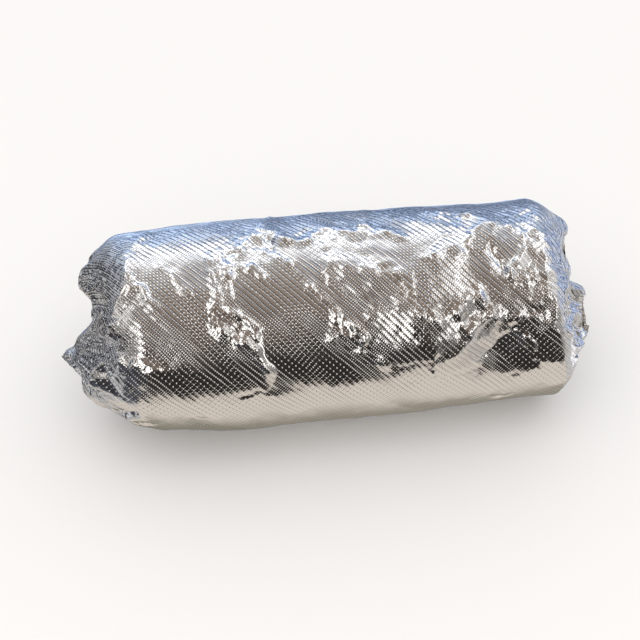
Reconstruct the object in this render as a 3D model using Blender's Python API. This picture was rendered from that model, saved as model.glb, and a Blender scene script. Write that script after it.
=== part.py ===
"""A burrito rolled in embossed kitchen foil, lying on its long side.

Metres, +Z up. +X runs along the roll from the pointed twist to the blunt tuck, and the
origin is under the middle of the roll, on the surface that it lies on.
The shut wrap can't be seen into, so the whole roll is one solid: a barrel with a flat
spot underneath, two tucked ends, and the larger folds pressed into the foil.
"""

import math
from collections import namedtuple

import bpy
import numpy as np

# Driving dimensions of the whole roll.
LENGTH = 0.1943  # from end to end, without the points gathered up from them
WIDTH = 0.0825
HEIGHT = 0.0746
FLAT_DEPTH = 0.0013  # how far the round belly is pressed flat where it lies
THINNING = 0.045  # share of its width that the barrel loses over the roll's length
FULL_WIDTH_AT = -0.020  # where along the roll the barrel has its full width
WAIST = 0.010  # share of its width that the barrel swells and narrows by, with the filling
WAIST_APART = 0.080
WAIST_AT = -0.013  # one of the narrow places

# Directions round the roll, as angles from straight down through the front (-Y) side.
UP_AND_BACK = math.radians(224)
UP_AND_FRONT = UP_AND_BACK - math.pi / 2

# The grid: rings of points along the roll, from the middle of one end to the other.
AROUND = 72
END_RINGS = 14
BARREL_RINGS = 40

# One closed end. Sizes are setbacks from the tip of the end, in metres.
End = namedtuple("End", "face tilt depth depth_swing corner corner_swing pleats pleat_height")
TWIST = End(0.0050, 0.0000, 0.0252, -0.0072, 2.05, 0.05, 9, 0.0013)
TUCK = End(0.0062, 0.0012, 0.0125, 0.0020, 2.00, 0.10, 7, 0.0012)
PLEAT_UNEVENNESS = 0.35  # in pleats, how far they stray from an even spacing

# A gathered point, a bulge or a dimple on an end: a cone, placed up and toward the front
# from the end's middle, that reaches so far up and down and so far to its sides. Its sides
# are straight at a sharpness of 1 and hollow above that.
Gather = namedtuple("Gather", "up front reach breadth height sharpness")
TWIST_GATHERS = (
    Gather(-0.0045, 0.0040, 0.0125, 0.0160, 0.0064, 1.5),
    Gather(0.0115, 0.0000, 0.0090, 0.0420, -0.0090, 1.0),
    Gather(0.0240, 0.0060, 0.0120, 0.0200, 0.0032, 1.0),
    Gather(-0.0170, 0.0060, 0.0200, 0.0450, 0.0043, 1.0),
)
TUCK_GATHERS = (
    Gather(0.0290, 0.0000, 0.0240, 0.0500, 0.0078, 1.0),
    Gather(-0.0240, 0.0100, 0.0180, 0.0400, 0.0034, 1.0),
    Gather(0.0030, -0.0160, 0.0110, 0.0110, -0.0030, 1.0),
)

# A fin pinched up from an end: a straight ridge between two places over its disc, each up
# and toward the front from the middle, with a flank on each side. It rises from a quarter
# of its height over the first millimetres of its run, and falls to that over the last.
Fin = namedtuple("Fin", "start stop height left_flank right_flank")
TWIST_FINS = (
    Fin((0.006, 0.014), (-0.012, -0.008), 0.0016, 0.0040, 0.0040),
    Fin((-0.004, 0.004), (-0.028, 0.022), 0.0022, 0.0050, 0.0035),
)
TUCK_FINS = (
    Fin((0.008, 0.002), (-0.020, 0.008), 0.0080, 0.0070, 0.0060),
    Fin((-0.003, 0.003), (0.016, 0.016), 0.0026, 0.0030, 0.0050),
    Fin((-0.006, 0.005), (-0.006, 0.028), 0.0022, 0.0040, 0.0030),
    Fin((-0.015, 0.006), (-0.024, 0.016), 0.0026, 0.0040, 0.0040),
)
FIN_END_RUN = 0.006

# Where the barrel swells, or shrinks where the height is below zero: a place along the roll,
# an angle round it in degrees, and how far that reaches along and round.
Swell = namedtuple("Swell", "along angle reach_along reach_round height")
SWELLS = (
    Swell(-0.065, 46, 0.019, 0.022, -0.0036),
    Swell(-0.020, 224, 0.042, 0.018, 0.0017),
)

# A fold in the foil: a straight ridge, or a valley where its height is below zero, with one
# flank on each side. Each end is a place along the roll, in metres from its middle, and an
# angle round it, in degrees.
Fold = namedtuple("Fold", "start stop height near_flank far_flank")
FOLDS = (
    # Two short creases and a longer ridge beside the twist.
    Fold((-0.074, 168), (-0.063, 146), 0.0015, 0.0050, 0.0070),
    Fold((-0.088, 100), (-0.073, 117), 0.0014, 0.0060, 0.0050),
    Fold((-0.074, 117), (-0.052, 113), 0.0012, 0.0070, 0.0050),
    # The ridge that runs down the front in three bends.
    Fold((-0.034, 184), (-0.045, 141), 0.0016, 0.0070, 0.0070),
    Fold((-0.045, 142), (-0.034, 127), 0.0017, 0.0060, 0.0060),
    Fold((-0.036, 130), (-0.025, 104), 0.0018, 0.0055, 0.0065),
    # The small peak at the top, and the long slanted line that starts from it.
    Fold((-0.035, 187), (-0.020, 203), 0.0017, 0.0080, 0.0060),
    Fold((-0.020, 203), (-0.010, 168), 0.0016, 0.0060, 0.0080),
    Fold((-0.014, 172), (0.002, 131), 0.0010, 0.0060, 0.0080),
    # Slanted ridges over the middle of the front.
    Fold((0.002, 136), (0.020, 106), 0.0016, 0.0070, 0.0060),
    Fold((0.004, 180), (0.012, 160), 0.0014, 0.0060, 0.0080),
    Fold((0.027, 148), (0.035, 115), 0.0017, 0.0070, 0.0080),
    Fold((0.018, 168), (0.026, 152), -0.0013, 0.0060, 0.0070),
    Fold((0.041, 134), (0.057, 143), 0.0016, 0.0060, 0.0070),
    Fold((0.057, 143), (0.050, 116), 0.0016, 0.0060, 0.0060),
    # The step where the outer layer of foil ends, and the facets beside the tuck.
    Fold((0.042, 101), (0.071, 123), -0.0018, 0.0095, 0.0045),
    Fold((0.065, 149), (0.075, 178), 0.0016, 0.0080, 0.0040),
    Fold((0.040, 206), (0.066, 186), 0.0014, 0.0080, 0.0070),
)
FOLD_OVERRUN = 1.15  # a fold fades out this far past its ends, in halves of its length

# The back has folds like those, set out at random within these ranges.
BACK_FOLDS = 13
BACK_SEED = 9
BACK_START_X = (-0.070, 0.056)
BACK_START_ANGLE = (262, 332)
BACK_RUN_X = (0.010, 0.026)
BACK_RUN_ANGLE = (18, 42)
BACK_HEIGHT = (0.0012, 0.0020)
BACK_FLANK = (0.0055, 0.0095)

FOIL_COLOUR = (0.80, 0.80, 0.81, 1.0)
FOIL_ROUGHNESS = 0.22


def end_grid(end, ring_share, angle):
    """Share of the full radius, and setback from the tip, of a rounded end.

    ring_share runs from 0 in the middle of the end to 1 where the barrel starts. The
    outline is a superellipse whose depth and corner change smoothly round the roll.
    """
    swing = np.cos(angle - UP_AND_BACK)
    power = 2 / (end.corner + end.corner_swing * swing)
    turn = ring_share * math.pi / 2
    share = np.sin(turn) ** power
    drop = 1 - np.clip(np.cos(turn), 0, 1) ** power
    setback = end.face + end.tilt * share * swing + (end.depth + end.depth_swing * swing) * drop
    return share, setback


def fin_height(fin, up, front):
    """Height of one fin over an end's disc: a tent across its ridge, lower at its ends."""
    run_up, run_front = fin.stop[0] - fin.start[0], fin.stop[1] - fin.start[1]
    length = math.hypot(run_up, run_front)
    off_up, off_front = up - fin.start[0], front - fin.start[1]
    share = np.clip((off_up * run_up + off_front * run_front) / length ** 2, 0, 1)
    away = np.hypot(off_up - share * run_up, off_front - share * run_front)
    left = run_up * off_front - run_front * off_up > 0
    flank = np.where(left, fin.left_flank, fin.right_flank)
    to_end = np.minimum(share, 1 - share) * length
    taper = np.clip(0.25 + 0.75 * to_end / FIN_END_RUN, 0, 1)
    return fin.height * taper * np.clip(1 - away / flank, 0, 1)


def end_relief(end, gathers, fins, share, angle):
    """How far an end stands out beyond its smooth outline: its gathers, fins and pleats.

    A gather is a cone over the end's disc. The pleats are a triangle wave round the end
    that is strongest halfway out and dies away at the middle and at the barrel.
    """
    radius = share * WIDTH / 2
    up = radius * np.cos(angle - UP_AND_BACK)
    front = radius * np.cos(angle - UP_AND_FRONT)
    relief = np.zeros_like(radius)
    for gather in gathers:
        away = np.hypot((up - gather.up) / gather.reach, (front - gather.front) / gather.breadth)
        relief += gather.height * np.clip(1 - away, 0, 1) ** gather.sharpness
    for fin in fins:
        relief += fin_height(fin, up, front)
    wave = angle * end.pleats / (2 * math.pi) + PLEAT_UNEVENNESS * np.sin(2 * angle)
    triangle = 4 * np.abs(wave - np.floor(wave + 0.5)) - 1
    return relief + end.pleat_height * triangle * np.sin(math.pi * share) ** 2


def fold_height(fold, along, round_way):
    """Height of one fold over the unrolled foil: a tent across its ridge, tapered at its ends."""
    turn_length = math.radians(1) * (WIDTH + HEIGHT) / 4
    start = np.array((fold.start[0], fold.start[1] * turn_length))
    stop = np.array((fold.stop[0], fold.stop[1] * turn_length))
    length = np.linalg.norm(stop - start)
    direction = (stop - start) / length
    step_along, step_round = along - start[0], round_way - start[1]
    run = (step_along * direction[0] + step_round * direction[1]) / length
    off = step_round * direction[0] - step_along * direction[1]
    flank = np.where(off > 0, fold.far_flank, fold.near_flank)
    taper = np.clip(FOLD_OVERRUN - np.abs(2 * run - 1) ** 3, 0, 1)
    return fold.height * taper * np.clip(1 - np.abs(off) / flank, 0, 1)


def swell_height(swell, along, round_way):
    """Height of one swell over the unrolled foil: a smooth hump, or hollow, about its place."""
    turn_length = math.radians(1) * (WIDTH + HEIGHT) / 4
    off_along = (along - swell.along) / swell.reach_along
    off_round = (round_way - swell.angle * turn_length) / swell.reach_round
    return swell.height * np.exp(-off_along ** 2 - off_round ** 2)


def back_folds():
    """Folds on the back: slanted one way or the other, one to three centimetres long."""
    rng = np.random.default_rng(BACK_SEED)
    for _ in range(BACK_FOLDS):
        along = rng.uniform(*BACK_START_X)
        angle = rng.uniform(*BACK_START_ANGLE)
        turn = rng.choice((-1, 1)) * rng.uniform(*BACK_RUN_ANGLE)
        stop = (along + rng.uniform(*BACK_RUN_X), angle + turn)
        height = rng.uniform(*BACK_HEIGHT)
        yield Fold((along, angle), stop, height, rng.uniform(*BACK_FLANK), rng.uniform(*BACK_FLANK))


def roll_points():
    """The grid of points, ring by ring, with the first and the last ring shrunk to one place."""
    angle = np.arange(AROUND) * 2 * math.pi / AROUND
    shares = np.linspace(0, 1, END_RINGS + 1)[:, None]
    twist_share, twist_back = end_grid(TWIST, shares, angle[None, :])
    tuck_share, tuck_back = end_grid(TUCK, shares, angle[None, :])
    twist_back -= end_relief(TWIST, TWIST_GATHERS, TWIST_FINS, twist_share, angle[None, :])
    tuck_back -= end_relief(TUCK, TUCK_GATHERS, TUCK_FINS, tuck_share, angle[None, :])
    twist_x = twist_back - LENGTH / 2
    tuck_x = LENGTH / 2 - tuck_back[::-1]
    run = (np.arange(1, BARREL_RINGS) / BARREL_RINGS)[:, None]
    barrel_x = twist_x[-1] * (1 - run) + tuck_x[0] * run
    x = np.concatenate((twist_x, barrel_x, tuck_x))
    share = np.concatenate((twist_share, np.ones_like(barrel_x), tuck_share[::-1]))
    angle = np.broadcast_to(angle, x.shape)

    thinner = THINNING * (x - FULL_WIDTH_AT) / LENGTH
    narrower = WAIST * np.cos(2 * math.pi * (x - WAIST_AT) / WAIST_APART)
    round_way = angle * (WIDTH + HEIGHT) / 4
    lift = sum(fold_height(fold, x, round_way) for fold in (*FOLDS, *back_folds()))
    lift += sum(swell_height(swell, x, round_way) for swell in SWELLS)
    out = share * (1 - thinner - narrower)
    y = -np.sin(angle) * (out * WIDTH / 2 + lift * share)
    z = -np.cos(angle) * (out * HEIGHT / 2 + lift * share)
    floor = -HEIGHT / 2 + FLAT_DEPTH
    return np.stack((x, y, np.maximum(z, floor)), axis=-1)


def roll_mesh(points):
    """Quads between neighbouring rings, a fan of triangles at each end, all facing out."""
    rings, around = points.shape[:2]
    inner = points[1:-1].reshape(-1, 3)
    tips = np.stack((points[0].mean(axis=0), points[-1].mean(axis=0)))
    place = np.arange((rings - 2) * around).reshape(rings - 2, around)
    beside = np.roll(place, -1, axis=1)
    quads = np.stack((place[:-1], place[1:], beside[1:], beside[:-1]), axis=-1).reshape(-1, 4)
    first_tip, last_tip = len(inner), len(inner) + 1
    faces = quads.tolist()
    faces += [(first_tip, a, b) for a, b in zip(place[0], beside[0])]
    faces += [(last_tip, b, a) for a, b in zip(place[-1], beside[-1])]
    mesh = bpy.data.meshes.new("foil_burrito")
    mesh.from_pydata(np.concatenate((inner, tips)).tolist(), [], faces)
    return mesh


def foil_material():
    material = bpy.data.materials.new("foil")
    material.use_nodes = True
    shader = material.node_tree.nodes["Principled BSDF"]
    shader.inputs["Base Color"].default_value = FOIL_COLOUR
    shader.inputs["Metallic"].default_value = 1.0
    shader.inputs["Roughness"].default_value = FOIL_ROUGHNESS
    return material


def main():
    for old in list(bpy.data.objects):
        bpy.data.objects.remove(old)
    points = roll_points()
    low = points.reshape(-1, 3).min(axis=0)
    high = points.reshape(-1, 3).max(axis=0)
    points -= ((low[0] + high[0]) / 2, (low[1] + high[1]) / 2, low[2])
    mesh = roll_mesh(points)
    mesh.materials.append(foil_material())
    mesh.shade_smooth()
    roll = bpy.data.objects.new("foil_burrito", mesh)
    bpy.context.scene.collection.objects.link(roll)


main()
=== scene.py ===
"""A burrito in embossed kitchen foil: the skin of foil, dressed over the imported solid."""
import math
from collections import namedtuple
from itertools import cycle

import bpy
import numpy as np
from mathutils import Matrix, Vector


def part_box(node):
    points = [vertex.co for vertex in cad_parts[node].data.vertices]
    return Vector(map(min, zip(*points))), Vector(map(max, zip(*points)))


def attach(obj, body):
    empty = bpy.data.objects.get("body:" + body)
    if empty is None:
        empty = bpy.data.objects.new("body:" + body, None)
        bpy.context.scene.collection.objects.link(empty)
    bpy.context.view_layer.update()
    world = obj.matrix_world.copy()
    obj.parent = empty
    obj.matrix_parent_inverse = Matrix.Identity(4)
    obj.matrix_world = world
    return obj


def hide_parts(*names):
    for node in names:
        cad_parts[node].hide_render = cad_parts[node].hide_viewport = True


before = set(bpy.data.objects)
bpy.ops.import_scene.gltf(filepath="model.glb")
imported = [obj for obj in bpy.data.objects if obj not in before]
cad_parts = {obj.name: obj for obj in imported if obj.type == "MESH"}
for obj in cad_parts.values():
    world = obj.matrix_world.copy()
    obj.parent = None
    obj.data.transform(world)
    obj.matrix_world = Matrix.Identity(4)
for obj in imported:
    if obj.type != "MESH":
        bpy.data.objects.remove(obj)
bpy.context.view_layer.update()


# ---- The roll of foil ---------------------------------------------------------------------
# One sheet of embossed aluminium foil, rolled round the burrito and closed at both ends: the
# one end twisted to a point and folded down, the other tucked in and pinched. It is one
# skin, from the middle of one end over the barrel to the middle of the other.

low, high = (np.array(corner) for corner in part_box("foil_burrito"))
LENGTH, ROLL_WIDTH, ROLL_HEIGHT = high - low
WIDTH = ROLL_WIDTH - 0.003  # of the barrel without its folds
HEIGHT = ROLL_HEIGHT - 0.0003
BROADER = 1.005  # how much wider the folded skin is drawn out; the other ways it fits the roll's box
FLAT_DEPTH = 0.0013  # how far the belly is pressed flat where it lies
THINNING = 0.045  # share of its width that the barrel loses over the roll's length
FULL_WIDTH_AT = -0.020  # where along the roll the barrel has its full width
WAIST = 0.010  # share of its width that the barrel swells and narrows by, with the filling
WAIST_APART = 0.080
WAIST_AT = -0.013
TURN = math.pi * (WIDTH + HEIGHT) / 2  # once round the barrel
UP_AND_BACK = math.radians(224)
UP_AND_FRONT = UP_AND_BACK - math.pi / 2
AROUND = 312
TWIST_RINGS, BARREL_RINGS, TUCK_RINGS = 64, 184, 54

End = namedtuple("End", "face tilt depth depth_swing corner corner_swing pleats pleat_height")
TWIST = End(0.0050, 0.0000, 0.0252, -0.0072, 2.05, 0.05, 9, 0.0013)
TUCK = End(0.0062, 0.0012, 0.0125, 0.0020, 2.00, 0.10, 7, 0.0012)
PLEAT_UNEVENNESS = 0.35  # in pleats

# A gathered point or a dimple on an end: placed up and toward the front from the end's
# middle, reaching so far up and down and so far to its sides, with pleats that run into it.
Gather = namedtuple("Gather", "up front reach breadth height pleats")
TWIST_GATHERS = (
    Gather(-0.0045, 0.0040, 0.0125, 0.0160, 0.0064, 7),
    Gather(0.0115, 0.0000, 0.0090, 0.0420, -0.0090, 0),
    Gather(0.0240, 0.0060, 0.0120, 0.0200, 0.0032, 0),
    Gather(-0.0170, 0.0060, 0.0200, 0.0450, 0.0043, 0),
)
TUCK_GATHERS = (
    Gather(0.0290, 0.0000, 0.0240, 0.0500, 0.0078, 0),
    Gather(-0.0240, 0.0100, 0.0180, 0.0400, 0.0034, 0),
    Gather(0.0030, -0.0160, 0.0110, 0.0110, -0.0030, 0),
)
GATHER_SHARPNESS = 1.5
GATHER_PLEATING = 0.45

# A fin pinched up from an end: a ridge along a path over its disc, each place up and toward
# the front from the middle in millimetres.
Fin = namedtuple("Fin", "path height left right")
TWIST_FINS = (
    Fin(((6, 14), (-4, 4), (-12, -8)), 0.0016, 0.0040, 0.0040),
    Fin(((-4, 4), (-16, 16), (-28, 22)), 0.0022, 0.0050, 0.0035),
)
TUCK_FINS = (
    Fin(((8, 2), (2, 3), (-4, 3), (-9, 5), (-14, 6), (-20, 8)), 0.0080, 0.0070, 0.0060),
    Fin(((-3, 3), (6, 12), (16, 16)), 0.0026, 0.0030, 0.0050),
    Fin(((-6, 5), (-8, 18), (-6, 28)), 0.0022, 0.0040, 0.0030),
    Fin(((-15, 6), (-24, 16)), 0.0026, 0.0040, 0.0040),
)
FIN_END_RUN = 0.006
FINE_PLEATS = 41
FINE_PLEAT_HEIGHT = 0.0004

# Where the barrel swells, or shrinks: a place along it and round it, how far that reaches
# along and round, and by how much.
Swell = namedtuple("Swell", "along angle reach_along reach_round height")
SWELLS = (
    Swell(-0.065, 46, 0.019, 0.022, -0.0036),
    Swell(-0.020, 224, 0.042, 0.018, 0.0017),
)

# A crease: a ridge, or a valley where its height is below zero, along a path over the sheet.
# Each place on the path is a distance along the roll from its middle, in millimetres, and an
# angle round it, in degrees. The left flank is the one on the left going along the path.
Crease = namedtuple("Crease", "path height left right")
CREASES = (
    # The shoulder where the foil bends down to the twist, and two short creases beside it.
    Crease(((-66, 212), (-74, 183), (-76, 164), (-79, 157), (-83, 147), (-87, 131)), 0.0013, 0.0040, 0.0060),
    Crease(((-87, 131), (-83, 125), (-78, 121), (-70, 122)), 0.0008, 0.0025, 0.0025),
    Crease(((-75, 164), (-70, 161), (-68, 154), (-65, 147)), 0.0011, 0.0030, 0.0035),
    Crease(((-64, 176), (-53, 156)), 0.0005, 0.0030, 0.0020),
    Crease(((-92, 80), (-86, 110), (-78, 117), (-69, 118), (-59, 117), (-53, 113)), 0.0004, 0.0040, 0.0040),
    # The ridge that runs down the front in bends, and the loop beside it.
    Crease(((-45, 180), (-44, 165), (-42, 153), (-45, 144)), 0.0009, 0.0025, 0.0030),
    Crease(((-40, 180), (-39, 168), (-38, 155), (-40, 148)), 0.0006, 0.0020, 0.0025),
    Crease(((-45, 144), (-45, 140), (-42, 134), (-36, 129)), 0.0010, 0.0025, 0.0030),
    Crease(((-36, 129), (-32, 123), (-28, 115), (-25, 104)), 0.0012, 0.0025, 0.0030),
    Crease(((-45, 142), (-41, 144), (-37, 143), (-33, 139), (-29, 134), (-30, 127)), 0.0007, 0.0018, 0.0020),
    Crease(((-31, 170), (-27, 165), (-24, 160)), 0.0006, 0.0020, 0.0025),
    # The small peak at the top and what runs from it.
    Crease(((-38, 166), (-34, 180), (-30, 187), (-22, 200)), 0.0009, 0.0050, 0.0040),
    Crease(((-22, 199), (-24, 184), (-20, 173)), 0.0007, 0.0025, 0.0025),
    Crease(((-22, 198), (-16, 187), (-10, 184), (-4, 187), (0, 192), (6, 191), (12, 184), (16, 194)), 0.0009, 0.0035, 0.0040),
    Crease(((16, 194), (18, 184), (23, 185), (30, 178)), 0.0009, 0.0035, 0.0040),
    Crease(((-20, 179), (-13, 165), (-5, 150), (0, 138), (1, 131), (-2, 124)), 0.0005, 0.0030, 0.0030),
    Crease(((0, 174), (-1, 150)), 0.0004, 0.0015, 0.0015),
    # The three-cornered facet and the ridges over the middle of the front.
    Crease(((-2, 124), (1, 128), (5, 124), (9, 121), (10, 125), (6, 131), (3, 134)), 0.0006, 0.0015, 0.0018),
    Crease(((4, 119), (11, 112), (19, 107)), 0.0006, 0.0025, 0.0025),
    Crease(((29, 146), (23, 138), (13, 134), (8, 128)), 0.0003, 0.0030, 0.0030),
    Crease(((24, 152), (28, 142), (32, 130), (34, 118), (35, 108), (35, 96)), 0.0041, 0.0260, 0.0210),
    Crease(((2, 166), (12, 160), (20, 157)), 0.0013, 0.0060, 0.0100),
    Crease(((16, 162), (24, 156), (31, 152)), 0.0011, 0.0055, 0.0080),
    # The flat facet high up toward the tuck, and the streak on it.
    Crease(((54, 180), (64, 181), (74, 178)), 0.0026, 0.0080, 0.0130),
    Crease(((62, 171), (63, 160), (65, 150)), -0.0006, 0.0018, 0.0022),
    Crease(((36, 162), (44, 166), (52, 170)), 0.0012, 0.0055, 0.0090),
    Crease(((33, 132), (38, 128), (44, 133), (49, 138), (54, 142)), 0.0010, 0.0030, 0.0035),
    Crease(((54, 142), (56, 135), (59, 130), (55, 127), (52, 125), (50, 118)), 0.0010, 0.0025, 0.0030),
    Crease(((44, 133), (47, 126), (50, 119)), 0.0009, 0.0025, 0.0030),
    # The step where the outer layer of foil ends, with the flat facet below it.
    Crease(((46, 98), (52, 101), (58, 108), (67, 119), (71, 124)), -0.0036, 0.0080, 0.0180),
    Crease(((41, 107), (50, 119), (56, 127), (64, 125), (76, 125)), 0.0006, 0.0030, 0.0025),
    Crease(((67, 119), (75, 104), (76, 97)), 0.0006, 0.0030, 0.0030),
    # Small marks low on the front, and two insets beside the twist.
    Crease(((-87, 71), (-82, 80), (-77, 87)), -0.0013, 0.0022, 0.0030),
    Crease(((-82, 66), (-78, 72), (-72, 76)), -0.0009, 0.0018, 0.0022),
    Crease(((-56, 84), (-51, 83)), -0.0003, 0.0010, 0.0012),
    Crease(((-36, 98), (-32, 99), (-26, 96)), -0.0002, 0.0010, 0.0012),
    Crease(((-84, 88), (-80, 84), (-76, 86)), -0.0005, 0.0015, 0.0015),
    Crease(((57, 70), (60, 66), (66, 69)), -0.0003, 0.0015, 0.0020),
    # The facets beside the tuck.
    Crease(((76, 178), (73, 158), (67, 152), (69, 144), (77, 147)), 0.0010, 0.0050, 0.0025),
    Crease(((56, 178), (53, 168), (50, 161)), 0.0006, 0.0030, 0.0040),
    Crease(((40, 204), (52, 196), (66, 186)), 0.0006, 0.0050, 0.0050),
)

# The back has creases like those, set out at random within these ranges.
BACK_CREASES = 13
BACK_SEED = 11
BACK_START = ((-70, 56), (262, 332))
BACK_RUN = ((10, 26), (18, 42))
BACK_HEIGHT = (0.0012, 0.0020)
BACK_FLANK = (0.0055, 0.0095)

# Where the foil is crumpled: a place, how far it reaches along and round, and how strongly.
Crumpled = namedtuple("Crumpled", "along angle reach_along reach_round strength")
CRUMPLED = (
    Crumpled(-0.086, 115, 0.010, 0.018, 1.0),
    Crumpled(-0.038, 172, 0.006, 0.010, 0.5),
    Crumpled(-0.035, 134, 0.006, 0.006, 0.7),
    Crumpled(-0.026, 190, 0.010, 0.008, 0.6),
    Crumpled(0.008, 190, 0.018, 0.008, 0.5),
    Crumpled(0.006, 128, 0.006, 0.006, 0.35),
    Crumpled(0.030, 134, 0.005, 0.008, 0.3),
    Crumpled(0.052, 132, 0.009, 0.009, 0.8),
    Crumpled(0.052, 195, 0.020, 0.008, 0.5),
    Crumpled(0.080, 150, 0.008, 0.036, 0.9),
    Crumpled(0.000, 280, 0.050, 0.030, 0.4),
)

CREASE_END_SLOPE = 3.5  # how many times its height a crease takes to rise at its ends
END_WEAR = 0.3
TWIST_PLEATS, TUCK_PLEATS = 11, 13  # in which the sheet lies on the ends
CREASE_WEAR, CREASE_REACH = 0.6, 0.0020  # how strongly and how far round a crease the foil crumples

# Crumpling at one size: the facets' size and steepness, smooth foil and crumpled foil.
Crumple = namedtuple("Crumple", "cell shear plain_slope crumpled_slope seed")
CRUMPLES = (
    Crumple(0.0170, 0.5, 0.026, 0.060, 5),
    Crumple(0.0075, -0.6, 0.016, 0.150, 6),
    Crumple(0.0036, 0.4, 0.005, 0.140, 7),
)
CREASE_JOLTS = (Crumple(0.0060, 0.0, 0.25, 0.0, 25), Crumple(0.0050, 0.0, 0.25, 0.0, 26))  # off their paths
END_CRUMPLES = (
    Crumple(0.0120, 0.0, 0.300, 0.0, 15),
    Crumple(0.0055, 0.3, 0.130, 0.0, 16),
    Crumple(0.0030, 0.0, 0.040, 0.0, 17),
)


def end_grid(end, ring_share, angle):
    """Share of the full radius, and setback from the tip, of a rounded end.

    ring_share runs from 0 in the middle of the end to 1 where the barrel starts. The
    outline is a superellipse whose depth and corner change smoothly round the roll.
    """
    swing = np.cos(angle - UP_AND_BACK)
    power = 2 / (end.corner + end.corner_swing * swing)
    turn = ring_share * math.pi / 2
    share = np.sin(turn) ** power
    drop = 1 - np.clip(np.cos(turn), 0, 1) ** power
    setback = end.face + end.tilt * share * swing + (end.depth + end.depth_swing * swing) * drop
    return share, setback


def pleat_wave(angle, pleats):
    """A triangle wave between -1 and 1 round a point, with so many pleats, unevenly spaced."""
    wave = angle * pleats / (2 * math.pi) + PLEAT_UNEVENNESS * np.sin(2 * angle)
    return 4 * np.abs(wave - np.floor(wave + 0.5)) - 1


def end_relief(end, gathers, fins, share, angle):
    """How far an end stands out beyond its smooth outline: its gathers, fins and pleats.

    A gather is a cone over the end's disc, and a fin a tent along a path. The pleats are
    triangle waves round the end that die away at the middle and at the barrel.
    """
    radius = share * WIDTH / 2
    up = radius * np.cos(angle - UP_AND_BACK)
    front = radius * np.cos(angle - UP_AND_FRONT)
    relief = np.zeros_like(radius)
    for gather in gathers:
        off_up, off_front = (up - gather.up) / gather.reach, (front - gather.front) / gather.breadth
        near = np.clip(1 - np.hypot(off_up, off_front), 0, 1)
        pleated = GATHER_PLEATING * pleat_wave(np.arctan2(off_front, off_up), gather.pleats) * (1 - near)
        relief += gather.height * near ** (GATHER_SHARPNESS if gather.pleats else 1) * (1 + pleated)
    for fin in fins:
        relief += tent(np.array(fin.path) / 1000, fin, FIN_END_RUN, up, front)[0]
    relief += end.pleat_height * pleat_wave(angle, end.pleats) * np.sin(math.pi * share) ** 2
    return relief + FINE_PLEAT_HEIGHT * pleat_wave(angle, FINE_PLEATS) * share * np.sin(math.pi * share)


def tent(path, crease, end_run, along, round_way):
    """Height of a crease or a fin along a path over a surface, and the distance to it.

    It is highest on the path and falls evenly to nothing at each flank's width. It starts
    and ends at a quarter of its height, and reaches all of it over the end run.
    """
    steps = np.diff(path, axis=0)
    lengths = np.linalg.norm(steps, axis=1)
    began = np.concatenate(((0,), np.cumsum(lengths)))
    nearest = np.full(along.shape, np.inf)
    side = np.zeros_like(along)
    run = np.zeros_like(along)
    for start, step, length, before in zip(path, steps, lengths, began):
        off_along, off_round = along - start[0], round_way - start[1]
        share = np.clip((off_along * step[0] + off_round * step[1]) / length ** 2, 0, 1)
        away = np.hypot(off_along - share * step[0], off_round - share * step[1])
        closer = away < nearest
        nearest = np.where(closer, away, nearest)
        side = np.where(closer, step[0] * off_round - step[1] * off_along, side)
        run = np.where(closer, before + share * length, run)
    flank = np.where(side > 0, crease.left, crease.right)
    taper = np.clip(0.25 + 0.75 * np.minimum(run, began[-1] - run) / end_run, 0, 1)
    return crease.height * taper * np.clip(1 - nearest / flank, 0, 1), nearest


def nearness(spot, along, round_way):
    """1 at a place on the sheet, falling off smoothly with its reach along and round."""
    off_round = round_way - spot.angle / 360 * TURN
    return np.exp(-((along - spot.along) / spot.reach_along) ** 2 - (off_round / spot.reach_round) ** 2)


def back_creases():
    """Creases on the back: slanted one way or the other, one to three centimetres long."""
    rng = np.random.default_rng(BACK_SEED)
    for _ in range(BACK_CREASES):
        along, angle = (rng.uniform(*span) for span in BACK_START)
        run = rng.uniform(*BACK_RUN[0])
        turn = rng.choice((-1, 1)) * rng.uniform(*BACK_RUN[1])
        middle = (along + run * rng.uniform(0.3, 0.7), angle + turn * rng.uniform(0.3, 0.7))
        path = ((along, angle), middle, (along + run, angle + turn))
        yield Crease(path, rng.uniform(*BACK_HEIGHT), rng.uniform(*BACK_FLANK), rng.uniform(*BACK_FLANK))


def knot_distance(u, v, cell, around, rng):
    """Squared distance, in cells, to the nearest of the knots that lie one to a square cell.

    u and v are in metres. The pattern repeats after `around` metres of v.
    """
    cells_round = max(3, round(around / cell))
    cells_along = 64
    knots = rng.random((cells_along, cells_round, 2))
    column, row = u / cell, v / around * cells_round
    nearest = np.full(u.shape, np.inf)
    for step_column in range(-2, 3):
        for step_row in range(-2, 3):
            i = np.floor(column).astype(int) + step_column
            j = np.floor(row).astype(int) + step_row
            knot = knots[i % cells_along, j % cells_round]
            away = (i + knot[..., 0] - column) ** 2 + (j + knot[..., 1] - row) ** 2
            nearest = np.minimum(nearest, away)
    return nearest


def crumpled_height(u, v, around, crumple, slope):
    """Flat facets with sharp creases between them, as in crumpled foil.

    The difference of the squared distances to the nearest knots of two sets is a plane
    over each pair of cells, so the height is flat in pieces and its slope is the given one
    on average.
    """
    rng = np.random.default_rng(crumple.seed)
    sheared = v + crumple.shear * u
    first = knot_distance(u, sheared, crumple.cell, around, rng)
    second = knot_distance(u, sheared, crumple.cell, around, rng)
    return (first - second) * crumple.cell * slope


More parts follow.
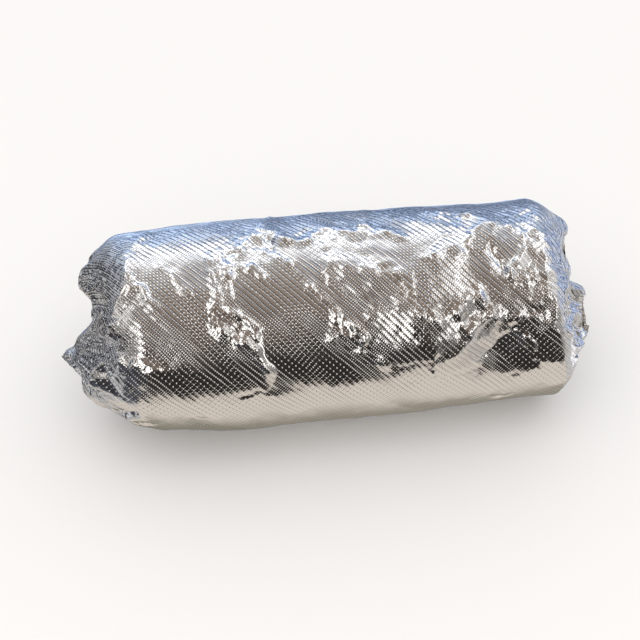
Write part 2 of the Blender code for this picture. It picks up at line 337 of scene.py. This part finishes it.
def skin_points():
    """The grid of points of the skin, ring by ring, and how crumpled the foil is at each."""
    angle = np.arange(AROUND) * 2 * math.pi / AROUND
    twist_shares = np.linspace(0, 1, TWIST_RINGS + 1)[:, None]
    tuck_shares = np.linspace(0, 1, TUCK_RINGS + 1)[:, None]
    twist_share, twist_back = end_grid(TWIST, twist_shares, angle[None, :])
    tuck_share, tuck_back = end_grid(TUCK, tuck_shares, angle[None, :])
    twist_back -= end_relief(TWIST, TWIST_GATHERS, TWIST_FINS, twist_share, angle[None, :])
    tuck_back -= end_relief(TUCK, TUCK_GATHERS, TUCK_FINS, tuck_share, angle[None, :])
    twist_x = twist_back - LENGTH / 2
    tuck_x = LENGTH / 2 - tuck_back[::-1]
    run = (np.arange(1, BARREL_RINGS) / BARREL_RINGS)[:, None]
    barrel_x = twist_x[-1] * (1 - run) + tuck_x[0] * run
    x = np.concatenate((twist_x, barrel_x, tuck_x))
    share = np.concatenate((twist_share, np.ones_like(barrel_x), tuck_share[::-1]))
    angle = np.broadcast_to(angle, x.shape)

    thinner = THINNING * (x - FULL_WIDTH_AT) / LENGTH
    narrower = WAIST * np.cos(2 * math.pi * (x - WAIST_AT) / WAIST_APART)
    round_way = angle / (2 * math.pi) * TURN
    out = share * (1 - thinner - narrower)
    y = -np.sin(angle) * out * WIDTH / 2
    z = -np.cos(angle) * out * HEIGHT / 2
    points = np.stack((x, y, z), axis=-1)

    # The outward direction of that smooth skin, along which the crumpling stands out.
    ahead = np.gradient(points, axis=0)
    beside = np.roll(points, -1, axis=1) - np.roll(points, 1, axis=1)
    outward = np.cross(ahead, beside)
    outward /= np.maximum(np.linalg.norm(outward, axis=-1, keepdims=True), 1e-12)

    worn = np.zeros_like(x)
    relief = np.zeros_like(x)
    strayed = [way + crumpled_height(x + 0.2, round_way, TURN, one, one.plain_slope)
               for way, one in zip((x, round_way), CREASE_JOLTS)]
    for crease in (*CREASES, *back_creases()):
        end_run = CREASE_END_SLOPE * abs(crease.height)
        height, away = tent(np.array(crease.path) * (0.001, TURN / 360), crease, end_run, *strayed)
        relief += height
        worn += CREASE_WEAR * np.exp(-(away / CREASE_REACH) ** 2)
    for spot in CRUMPLED:
        worn += spot.strength * nearness(spot, x, round_way)
    for swell in SWELLS:
        relief += swell.height * nearness(swell, x, round_way)
    worn = np.clip(worn, 0, 1.3)
    # Along the barrel the pattern runs on the unrolled sheet, and on an end across its disc.
    sheet = np.clip((share - 0.80) / 0.15, 0, 1)
    crumple = relief * np.clip((share - 0.5) / 0.2, 0, 1)
    for one in CRUMPLES:
        slope = one.plain_slope + (one.crumpled_slope - one.plain_slope) * worn
        crumple += crumpled_height(x + 0.2, round_way, TURN, one, slope) * sheet
    for one in END_CRUMPLES:
        crumple += crumpled_height(y + 0.2 + x * 0.2, z + 0.2, 0.4, one, one.plain_slope) * (1 - sheet)
    worn = np.clip(worn * sheet + END_WEAR * (1 - sheet), 0, 1)
    points = points + outward * crumple[..., None]
    floor = -HEIGHT / 2 + FLAT_DEPTH
    points[..., 2] = np.maximum(points[..., 2], floor)
    # The emboss is pressed flatter low on the front and underneath, where the roll is held.
    degrees = np.degrees(angle)
    pressed = np.interp(degrees, (0, 95, 104, 116, 130, 330, 360), (0.3, 0.3, 0.55, 0.55, 1, 1, 0.3))
    return points, share.mean(axis=1), worn, pressed


def pleat_middles(pleats, seed):
    """For each column of faces round an end, the middle of its pleat, as a share of a turn."""
    rng = np.random.default_rng(seed)
    starts = np.arange(pleats) + rng.uniform(-0.3, 0.3, pleats)
    starts[0] = 0
    starts = np.round(starts / pleats * AROUND)
    stops = np.append(starts[1:], AROUND)
    pleat = np.searchsorted(starts, np.arange(AROUND), side="right") - 1
    return (starts + stops)[pleat] / 2 / AROUND


def skin_mesh(points, ring_share, worn, pressed):
    """Quads between neighbouring rings, a fan of triangles at each end, all facing out.

    The map named foil holds the sheet's own measure in metres: along it and round it. On
    an end the sheet lies in pleats, so that its measure starts anew in each.
    """
    rings, around = points.shape[:2]
    inner = points[1:-1].reshape(-1, 3)
    tips = np.stack((points[0].mean(axis=0), points[-1].mean(axis=0)))
    coordinates = np.concatenate((inner, tips))
    stretch = (high - low) / (coordinates.max(axis=0) - coordinates.min(axis=0))
    stretch[1] = BROADER
    coordinates = high + (coordinates - coordinates.max(axis=0)) * stretch
    place = np.arange((rings - 2) * around).reshape(rings - 2, around)
    beside = np.roll(place, -1, axis=1)
    quads = np.stack((place[:-1], place[1:], beside[1:], beside[:-1]), axis=-1).reshape(-1, 4)
    first_tip, last_tip = len(inner), len(inner) + 1
    first = np.stack((np.full(around, first_tip), place[0], beside[0]), axis=-1)
    last = np.stack((np.full(around, last_tip), beside[-1], place[-1]), axis=-1)
    corners = np.concatenate((quads.ravel(), first.ravel(), last.ravel()))
    sizes = np.concatenate((np.full(len(quads), 4), np.full(2 * around, 3)))

    mesh = bpy.data.meshes.new("foil_skin")
    mesh.vertices.add(len(coordinates))
    mesh.vertices.foreach_set("co", coordinates.ravel())
    mesh.loops.add(len(corners))
    mesh.loops.foreach_set("vertex_index", corners)
    mesh.polygons.add(len(sizes))
    mesh.polygons.foreach_set("loop_start", np.concatenate(((0,), np.cumsum(sizes)[:-1])))
    mesh.polygons.foreach_set("loop_total", sizes)
    mesh.update(calc_edges=True)
    mesh.validate()
    mesh.shade_smooth()

    steps = np.linalg.norm(np.diff(points, axis=0), axis=-1).mean(axis=1)
    along = np.concatenate(((0,), np.cumsum(steps)))
    turn = np.arange(around + 1) / around
    ring, column = np.meshgrid(np.arange(1, rings - 2), np.arange(around), indexing="ij")
    ring_corner = np.stack((ring, ring + 1, ring + 1, ring), axis=-1).ravel()
    turn_corner = np.stack((column, column, column + 1, column + 1), axis=-1).ravel()
    fan = np.arange(around)
    first_ring = np.stack((np.zeros(around, int), np.ones(around, int), np.ones(around, int)), axis=-1)
    first_turn = np.stack((fan, fan, fan + 1), axis=-1)
    last_ring = rings - 1 - first_ring
    last_turn = np.stack((fan, fan + 1, fan), axis=-1)
    ring_corner = np.concatenate((ring_corner, first_ring.ravel(), last_ring.ravel()))
    turn_corner = np.concatenate((turn_corner, first_turn.ravel(), last_turn.ravel()))
    column_corner = np.concatenate((np.repeat(column.ravel(), 4), np.repeat(fan, 3), np.repeat(fan, 3)))
    first_half = ring_corner < rings / 2
    middle = np.where(
        first_half,
        pleat_middles(TWIST_PLEATS, 31)[column_corner],
        pleat_middles(TUCK_PLEATS, 32)[column_corner],
    )
    round_share = middle + (turn[turn_corner] - middle) * ring_share[ring_corner]
    sheet_map = np.stack((along[ring_corner], round_share * TURN), axis=-1)
    bake_map = np.stack((along[ring_corner] / along[-1], turn[turn_corner]), axis=-1)
    for name, values in (("foil", sheet_map), ("OFBake", bake_map)):
        layer = mesh.uv_layers.new(name=name)
        layer.uv.foreach_set("vector", values.astype(np.float32).ravel())
    for name, values in (("worn", worn), ("pressed", pressed)):
        attribute = mesh.attributes.new(name, "FLOAT", "POINT")
        values = np.concatenate((values[1:-1].ravel(), (1, 1)))
        attribute.data.foreach_set("value", values.astype(np.float32))
    return mesh


# The emboss: dots on a lattice set askew. Rows of dots and dots of a row are counted over a
# length of the sheet equal to once round the roll: along the roll, and round it.
ROWS = (190, 159)
DOTS = (190, -228)
ROW_DEPTH = 0.00005
DOT_DEPTH = 0.00030
DOT_REACH = 0.35  # in rows, half of a dot's width
GROOVE_REACH = 0.28  # in rows, half of a groove's width
UNEVENNESS = 0.7  # how much weaker every second row and groove can be
STREAK_ROWS, STREAK_SPOTS = 7.0, 34.0  # the size of the streaks in which that changes
SKIPPED = 0.4  # how much weaker every second dot of a row can be, half of it
CRINKLES_PER_METRE = 330
CRINKLE_SLOPE = 0.08


def foil_finish():
    """Bright rolled aluminium with a fine emboss set on the diagonal.

    Round dots stand in the square cells of a lattice turned by 45 degrees on the sheet, on
    low ridges that join them in rows. They are pressed out where the foil is crumpled, and
    a fine crinkle takes over there. The grooves between the rows carry painted shade: the
    base colour is darkened along them.
    """
    material = bpy.data.materials.new("foil")
    material.use_nodes = True
    tree = material.node_tree
    shader = tree.nodes["Principled BSDF"]
    shader.inputs["Metallic"].default_value = 1.0

    def do(operation, *values):
        node = tree.nodes.new("ShaderNodeMath")
        node.operation = operation
        for socket, value in zip(node.inputs, values):
            if isinstance(value, (int, float)):
                socket.default_value = value
            else:
                tree.links.new(value, socket)
        return node.outputs[0]

    sheet = tree.nodes.new("ShaderNodeUVMap")
    sheet.uv_map = "foil"
    parts = tree.nodes.new("ShaderNodeSeparateXYZ")
    tree.links.new(sheet.outputs["UV"], parts.inputs[0])
    along, around = parts.outputs[0], parts.outputs[1]
    worn = tree.nodes.new("ShaderNodeAttribute")
    worn.attribute_name = "worn"
    pressed = tree.nodes.new("ShaderNodeAttribute")
    pressed.attribute_name = "pressed"

    row, spot = (
        do("ADD", do("MULTIPLY", along, count[0] / TURN), do("MULTIPLY", around, count[1] / TURN))
        for count in (ROWS, DOTS)
    )
    ridge = do("COSINE", do("MULTIPLY", row, math.pi))
    from_dot = [do("DIVIDE", do("PINGPONG", way, 0.5), DOT_REACH) for way in (row, spot)]
    away = do("ADD", do("POWER", from_dot[0], 2.0), do("POWER", from_dot[1], 2.0))
    place = tree.nodes.new("ShaderNodeTexCoord")
    streak_place = tree.nodes.new("ShaderNodeCombineXYZ")
    tree.links.new(do("DIVIDE", row, STREAK_ROWS), streak_place.inputs[0])
    tree.links.new(do("DIVIDE", spot, STREAK_SPOTS), streak_place.inputs[1])
    patches = tree.nodes.new("ShaderNodeTexNoise")
    patches.inputs["Scale"].default_value = 1.0
    tree.links.new(streak_place.outputs[0], patches.inputs["Vector"])
    uneven = do("MULTIPLY", patches.outputs["Fac"], UNEVENNESS)
    row_strength = do("MULTIPLY_ADD", uneven, do("SUBTRACT", ridge, 1.0), 1.0)
    spans = tree.nodes.new("ShaderNodeTexNoise")
    spans.inputs["Scale"].default_value = 0.6
    spans.inputs["Detail"].default_value = 1.0
    tree.links.new(streak_place.outputs[0], spans.inputs["Vector"])
    skipped = do("MINIMUM", do("MAXIMUM", do("MULTIPLY_ADD", spans.outputs["Fac"], 5.0, -2.2), 0.0), SKIPPED)
    second = do("SUBTRACT", do("COSINE", do("MULTIPLY", spot, math.pi)), 1.0)
    dot_strength = do("MULTIPLY", do("MULTIPLY_ADD", skipped, second, 1.0), row_strength)
    dot = do("MULTIPLY", do("MAXIMUM", do("SUBTRACT", 1.0, do("SQRT", away)), 0.0), dot_strength)
    emboss_height = do("ADD", do("MULTIPLY", ridge, ROW_DEPTH / 2), do("MULTIPLY", dot, DOT_DEPTH))
    depth = do("MULTIPLY", do("MULTIPLY_ADD", worn.outputs["Fac"], -0.55, 1.0), pressed.outputs["Fac"])

    knots = []
    for offset in (0.0, 3.1):
        shifted = tree.nodes.new("ShaderNodeVectorMath")
        shifted.inputs[1].default_value = (offset, offset, offset)
        tree.links.new(place.outputs["Object"], shifted.inputs[0])
        knot = tree.nodes.new("ShaderNodeTexVoronoi")
        knot.inputs["Scale"].default_value = CRINKLES_PER_METRE
        tree.links.new(shifted.outputs[0], knot.inputs["Vector"])
        knots.append(do("POWER", knot.outputs["Distance"], 2.0))
    crinkle_share = do("MULTIPLY", do("POWER", worn.outputs["Fac"], 1.5), CRINKLE_SLOPE / CRINKLES_PER_METRE)
    crinkle_height = do("MULTIPLY", do("SUBTRACT", *knots), crinkle_share)
    height = do("MULTIPLY_ADD", emboss_height, depth, crinkle_height)

    bump = tree.nodes.new("ShaderNodeBump")
    bump.inputs["Strength"].default_value = 1.0
    bump.inputs["Distance"].default_value = 1.0
    tree.links.new(height, bump.inputs["Height"])
    tree.links.new(bump.outputs["Normal"], shader.inputs["Normal"])

    # Painted shade: the base colour, and the specular tint with it, is darkened along the grooves between the
    # rows of dots. This stands in for the shade in them, and it fades where the emboss is shallower.
    groove = do("MULTIPLY_ADD", do("PINGPONG", row, 0.5), 1 / GROOVE_REACH, 1 - 0.5 / GROOVE_REACH)
    deeper = do("MULTIPLY_ADD", do("SINE", do("MULTIPLY", row, math.pi)), uneven, do("SUBTRACT", 1.0, uneven))
    groove_shade = do("MULTIPLY", do("MAXIMUM", groove, 0.0), deeper)
    tone = tree.nodes.new("ShaderNodeMix")
    tone.data_type = "RGBA"
    tone.inputs[6].default_value = (0.94, 0.935, 0.93, 1.0)
    tone.inputs[7].default_value = (0.08, 0.07, 0.06, 1.0)
    tree.links.new(do("MULTIPLY", groove_shade, depth), tone.inputs["Factor"])
    tree.links.new(tone.outputs[2], shader.inputs["Base Color"])
    tree.links.new(tone.outputs[2], shader.inputs["Specular Tint"])

    rough = do("MULTIPLY_ADD", patches.outputs["Fac"], 0.05, 0.04)
    tree.links.new(rough, shader.inputs["Roughness"])
    return material


skin = bpy.data.objects.new("foil_skin", skin_mesh(*skin_points()))
bpy.context.scene.collection.objects.link(skin)
skin.data.materials.append(foil_finish())
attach(skin, "root")
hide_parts("foil_burrito")


# ---- The studio ---------------------------------------------------------------------------
# A plain pale floor, one large soft light high in front, and a warm grey room all round that
# the foil mirrors: white and blue behind, and a dark band low in front that gives the foil its dark band.

def floor_finish(name, colour):
    material = bpy.data.materials.new(name)
    material.use_nodes = True
    shader = material.node_tree.nodes["Principled BSDF"]
    shader.inputs["Base Color"].default_value = colour
    shader.inputs["Roughness"].default_value = 0.6
    shader.inputs["Specular IOR Level"].default_value = 0.2
    return material


def flat_card(name, corners, material):
    mesh = bpy.data.meshes.new(name)
    mesh.from_pydata(corners, [], [(0, 1, 2, 3)])
    mesh.materials.append(material)
    card = bpy.data.objects.new(name, mesh)
    bpy.context.scene.collection.objects.link(card)
    return card


FLOOR_REACH = 4.0
r = FLOOR_REACH
floor = flat_card(
    "floor", [(-r, -r, 0), (r, -r, 0), (r, r, 0), (-r, r, 0)], floor_finish("floor", (0.88, 0.865, 0.85, 1.0))
)
floor.visible_glossy = False

def soft_light(name, colour, power, width, height, distance, azimuth, elevation):
    """A rectangular light at an azimuth (0 in front, 180 behind) and elevation, aimed at the middle."""
    lamp = bpy.data.lights.new(name, "AREA")
    lamp.shape = "RECTANGLE"
    lamp.size, lamp.size_y = width, height
    lamp.color = colour
    lamp.energy = power
    light = bpy.data.objects.new(name, lamp)
    turn, lift = math.radians(azimuth), math.radians(elevation)
    light.location = (
        distance * math.sin(turn) * math.cos(lift),
        -distance * math.cos(turn) * math.cos(lift),
        distance * math.sin(lift),
    )
    light.rotation_euler = (math.pi / 2 - lift, 0, turn)
    bpy.context.scene.collection.objects.link(light)
    light.visible_camera = False
    return light


window = soft_light("window", (1.0, 0.99, 0.97), 5.0, 1.6, 1.6, 1.5, -15, 62)
window.visible_glossy = False

# What the foil mirrors: rings of tones round the roll's axis, in degrees from the front
# horizon, over the top (90), to the back horizon (180) and below. Each ring but the first
# takes over where a direction points further to one side than its two given shares of the
# way, and all but the foil is lit by an even pale sky.
PALE, DARK = (0.66, 0.595, 0.53), (0.028, 0.025, 0.023)
Ring = namedtuple("Ring", "starts full blend tones")


def striped(first, last, width, *tones):
    """The given tones in turn, in bands of the same width with narrow steps between them."""
    for index, start in enumerate(np.arange(first, last, width)):
        tone = tones[index % len(tones)]
        yield start + 0.15 * width, tone
        yield start + 0.85 * width, tone


BLUE, NAVY = (0.84, 1.08, 1.52), (0.14, 0.22, 0.42)
RINGS = (
    Ring(0, 0, "LINEAR", (
        *striped(-180, -144, 9, NAVY, BLUE, BLUE),
        (-135, (0.56, 0.68, 0.92)),
        (-124, (0.26, 0.24, 0.19)),
        (-92, (0.28, 0.26, 0.21)),
        (-66, PALE),
        (-30, PALE),
        (-26, DARK),
        (14, DARK),
        (30, (0.06, 0.048, 0.042)),
        (48, (0.16, 0.125, 0.105)),
        (90, (0.30, 0.245, 0.205)),
        (112, (0.40, 0.36, 0.33)),
        (124, (0.60, 0.58, 0.56)),
        (131, (0.85, 0.85, 0.85)),
        (138, (2.2, 2.2, 2.2)),
        (143, (2.2, 2.2, 2.2)),
        (150, (0.85, 0.85, 0.87)),
        (156, (0.75, 0.84, 0.98)),
        *striped(158, 179, 7, BLUE, NAVY, BLUE),
    )),
    Ring(0.0, 0.07, "LINEAR", (
        (-180, (0.10, 0.15, 0.27)),
        (-173, (0.06, 0.09, 0.17)),
        (-169, BLUE),
        (-165, (0.06, 0.09, 0.17)),
        (-154, (0.06, 0.09, 0.17)),
        (-145, BLUE),
        (-135, (0.48, 0.64, 0.95)),
        (-124, (0.30, 0.27, 0.22)),
        (-98, (0.34, 0.31, 0.26)),
        (-70, PALE),
        (-30, PALE),
        (-26, DARK),
        (10, DARK),
        (28, (0.065, 0.053, 0.046)),
        (48, (0.17, 0.133, 0.112)),
        (100, (0.28, 0.23, 0.19)),
        (122, (0.44, 0.41, 0.38)),
        (131, (0.80, 0.80, 0.82)),
        (138, (2.0, 2.0, 2.0)),
        (142, (2.0, 2.0, 2.0)),
        (149, (0.80, 0.80, 0.84)),
        (154, (0.62, 0.72, 0.88)),
        *striped(156, 179, 6, NAVY, BLUE, (0.10, 0.13, 0.20), (0.40, 0.54, 0.84)),
    )),
    Ring(-0.23, -0.31, "LINEAR", (
        (-180, (0.20, 0.21, 0.24)),
        (-150, (0.40, 0.38, 0.36)),
        (-110, PALE),
        (-34, PALE),
        (-30, (0.03, 0.03, 0.035)),
        (-4, (0.05, 0.05, 0.055)),
        (10, (0.10, 0.09, 0.08)),
        (16, (1.7, 1.65, 1.6)),
        (62, (1.7, 1.65, 1.6)),
        (68, (0.22, 0.19, 0.17)),
        (80, (0.22, 0.19, 0.17)),
        (86, (1.7, 1.65, 1.6)),
        (104, (1.7, 1.65, 1.6)),
        (110, (0.35, 0.33, 0.32)),
        (120, (0.45, 0.44, 0.43)),
        (126, (0.45, 0.45, 0.46)),
        *striped(130, 179, 8, (0.60, 0.68, 0.82), (0.10, 0.11, 0.14)),
    )),
    Ring(-0.52, -0.62, "CONSTANT", (
        *zip(np.arange(-180, -96, 10), cycle(((0.035, 0.036, 0.042), (0.10, 0.103, 0.115), (0.66, 0.67, 0.70)))),
        (-90, (0.45, 0.44, 0.43)),
        (-66, (0.30, 0.30, 0.31)),
        (-58, (0.07, 0.075, 0.09)),
        (-22, (0.04, 0.04, 0.045)),
        (24, (0.30, 0.29, 0.28)),
        (50, (0.35, 0.31, 0.28)),
        (66, (0.75, 0.72, 0.70)),
        (92, (0.65, 0.65, 0.65)),
        *zip(np.arange(96, 179, 7), cycle(((0.05, 0.053, 0.062), (0.48, 0.50, 0.56), (0.08, 0.086, 0.10)))),
    )),
    Ring(0.36, 0.44, "LINEAR", (
        (-180, (0.26, 0.34, 0.50)),
        (-150, (0.75, 0.78, 0.85)),
        (-120, PALE),
        (-28, PALE),
        (-22, (0.14, 0.135, 0.13)),
        (0, (0.10, 0.095, 0.09)),
        (14, (0.16, 0.15, 0.14)),
        (22, (1.7, 1.65, 1.6)),
        (56, (1.7, 1.65, 1.6)),
        (62, (0.34, 0.29, 0.26)),
        (78, (0.34, 0.29, 0.26)),
        (84, (1.7, 1.65, 1.6)),
        (124, (1.5, 1.5, 1.5)),
        (130, (0.45, 0.48, 0.54)),
        (146, (0.62, 0.66, 0.72)),
        (156, (0.45, 0.56, 0.74)),
        (170, (0.28, 0.36, 0.50)),
    )),
    Ring(0.56, 0.66, "CONSTANT", (
        *zip(np.arange(-180, -126, 6), cycle(((0.30, 0.46, 0.85), (0.06, 0.07, 0.10), (1.1, 1.1, 1.15)))),
        (-120, (0.55, 0.55, 0.55)),
        (-66, (0.52, 0.48, 0.44)),
        (-22, (0.28, 0.27, 0.26)),
        (10, (0.22, 0.21, 0.20)),
        (24, (0.30, 0.28, 0.26)),
        (50, (0.40, 0.37, 0.35)),
        (64, (0.80, 0.78, 0.76)),
        (106, (0.90, 0.88, 0.86)),
        *zip(np.arange(110, 179, 6), cycle(((0.08, 0.10, 0.16), (0.95, 1.0, 1.1), (0.20, 0.34, 0.72)))),
    )),
)
world = bpy.data.worlds.new("room")
bpy.context.scene.world = world
world.use_nodes = True
nodes, links = world.node_tree.nodes, world.node_tree.links
direction = nodes.new("ShaderNodeTexCoord")
split = nodes.new("ShaderNodeSeparateXYZ")
links.new(direction.outputs["Generated"], split.inputs[0])
front = nodes.new("ShaderNodeMath")
front.operation = "MULTIPLY"
front.inputs[1].default_value = -1.0
links.new(split.outputs["Y"], front.inputs[0])
turn = nodes.new("ShaderNodeMath")
turn.operation = "ARCTAN2"
links.new(split.outputs["Z"], turn.inputs[0])
links.new(front.outputs[0], turn.inputs[1])
turn_share = nodes.new("ShaderNodeMapRange")
turn_share.inputs["From Min"].default_value = -math.pi
turn_share.inputs["From Max"].default_value = math.pi
links.new(turn.outputs[0], turn_share.inputs["Value"])


def ring_of_tones(ring):
    """A colour ramp over the turn about the roll's axis."""
    ramp = nodes.new("ShaderNodeValToRGB")
    ramp.color_ramp.interpolation = ring.blend
    elements = ramp.color_ramp.elements
    elements.remove(elements[-1])
    for number, (degrees, colour) in enumerate(ring.tones):
        element = elements[0] if number == 0 else elements.new((degrees + 180) / 360)
        element.position = (degrees + 180) / 360
        element.color = (*colour, 1.0)
    links.new(turn_share.outputs["Result"], ramp.inputs["Fac"])
    return ramp.outputs["Color"]


tones = ring_of_tones(RINGS[0])
for ring in RINGS[1:]:
    step = nodes.new("ShaderNodeMapRange")
    step.inputs["From Min"].default_value = ring.starts
    step.inputs["From Max"].default_value = ring.full
    links.new(split.outputs["X"], step.inputs["Value"])
    mixed = nodes.new("ShaderNodeMix")
    mixed.data_type = "RGBA"
    links.new(step.outputs["Result"], mixed.inputs["Factor"])
    links.new(tones, mixed.inputs[6])
    links.new(ring_of_tones(ring), mixed.inputs[7])
    tones = mixed.outputs[2]
background = nodes["Background"]
links.new(tones, background.inputs["Color"])
backdrop = nodes.new("ShaderNodeBackground")
backdrop.inputs["Color"].default_value = (1.0, 0.995, 0.99, 1.0)
path = nodes.new("ShaderNodeLightPath")
mix = nodes.new("ShaderNodeMixShader")
links.new(path.outputs["Is Glossy Ray"], mix.inputs["Fac"])
links.new(backdrop.outputs[0], mix.inputs[1])
links.new(background.outputs[0], mix.inputs[2])
links.new(mix.outputs[0], nodes["World Output"].inputs["Surface"])
bpy.context.scene.view_settings.view_transform = "Standard"


# ---- The camera ---------------------------------------------------------------------------

CAMERA_AZIMUTH = math.radians(-5.8)
CAMERA_ELEVATION = math.radians(43)
CAMERA_DISTANCE = 0.62
CAMERA_ROLL = math.radians(-1.9)
CAMERA_TARGET = np.array((-0.0021, 0.0, 0.0343))
lens = bpy.data.cameras.new("camera")
lens.lens = 91.3
lens.sensor_width = 36.0
camera = bpy.data.objects.new("camera", lens)
back = np.array((
    math.sin(CAMERA_AZIMUTH) * math.cos(CAMERA_ELEVATION),
    -math.cos(CAMERA_AZIMUTH) * math.cos(CAMERA_ELEVATION),
    math.sin(CAMERA_ELEVATION),
))
camera.location = CAMERA_TARGET + back * CAMERA_DISTANCE
turned = Matrix.Rotation(CAMERA_AZIMUTH, 3, "Z") @ Matrix.Rotation(math.pi / 2 - CAMERA_ELEVATION, 3, "X")
camera.rotation_euler = (turned @ Matrix.Rotation(CAMERA_ROLL, 3, "Z")).to_euler()
bpy.context.scene.collection.objects.link(camera)
bpy.context.scene.camera = camera
